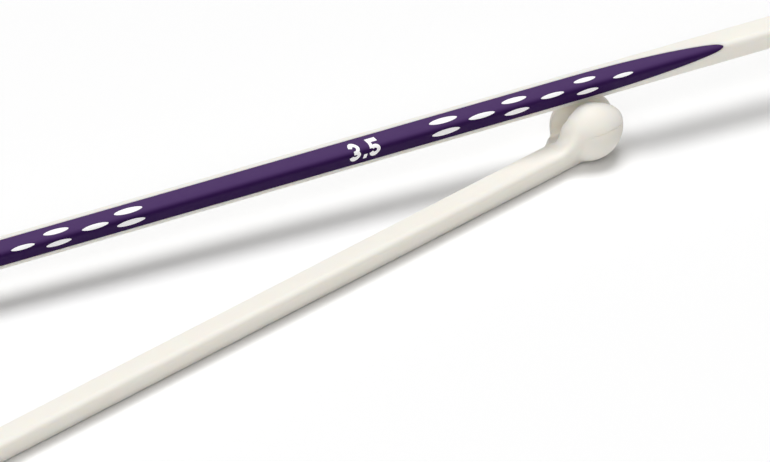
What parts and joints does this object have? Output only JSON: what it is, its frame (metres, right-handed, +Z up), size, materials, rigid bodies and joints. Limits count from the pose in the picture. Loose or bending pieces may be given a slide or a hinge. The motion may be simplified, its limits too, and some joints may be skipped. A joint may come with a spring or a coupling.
{
  "type": "knitting needle",
  "caption": "Single-pointed straight knitting needles with a rounded triangular shaft, a drop-shaped point, a violet grip overlay and a split ball end, one laid across the other's ball.",
  "frame": {"origin": "on the surface that the needles lie on, under the middle of their common box", "axes": "+X along the lower needle towards its ball, +Z up, the upper needle points towards +X and -Y"},
  "size_m": [0.4758, 0.1154, 0.0148],
  "materials": {
    "ivory_plastic": "satin ivory plastic, moulded",
    "violet_plastic": "satin dark violet plastic, moulded on to the ivory one"
  },
  "bodies": {
    "lower_needle": {"lower_shaft": "ivory_plastic", "lower_split_ball": "ivory_plastic", "lower_grip_overlay": "violet_plastic"},
    "upper_needle": {"upper_shaft": "ivory_plastic", "upper_split_ball": "ivory_plastic", "upper_grip_overlay": "violet_plastic"}
  },
  "joints": [
    {"name": "unclip", "type": "slide", "parent": "lower_needle", "child": "upper_needle", "axis": [0, 0, 1], "range_m": [0, 0.02]}
  ]
}
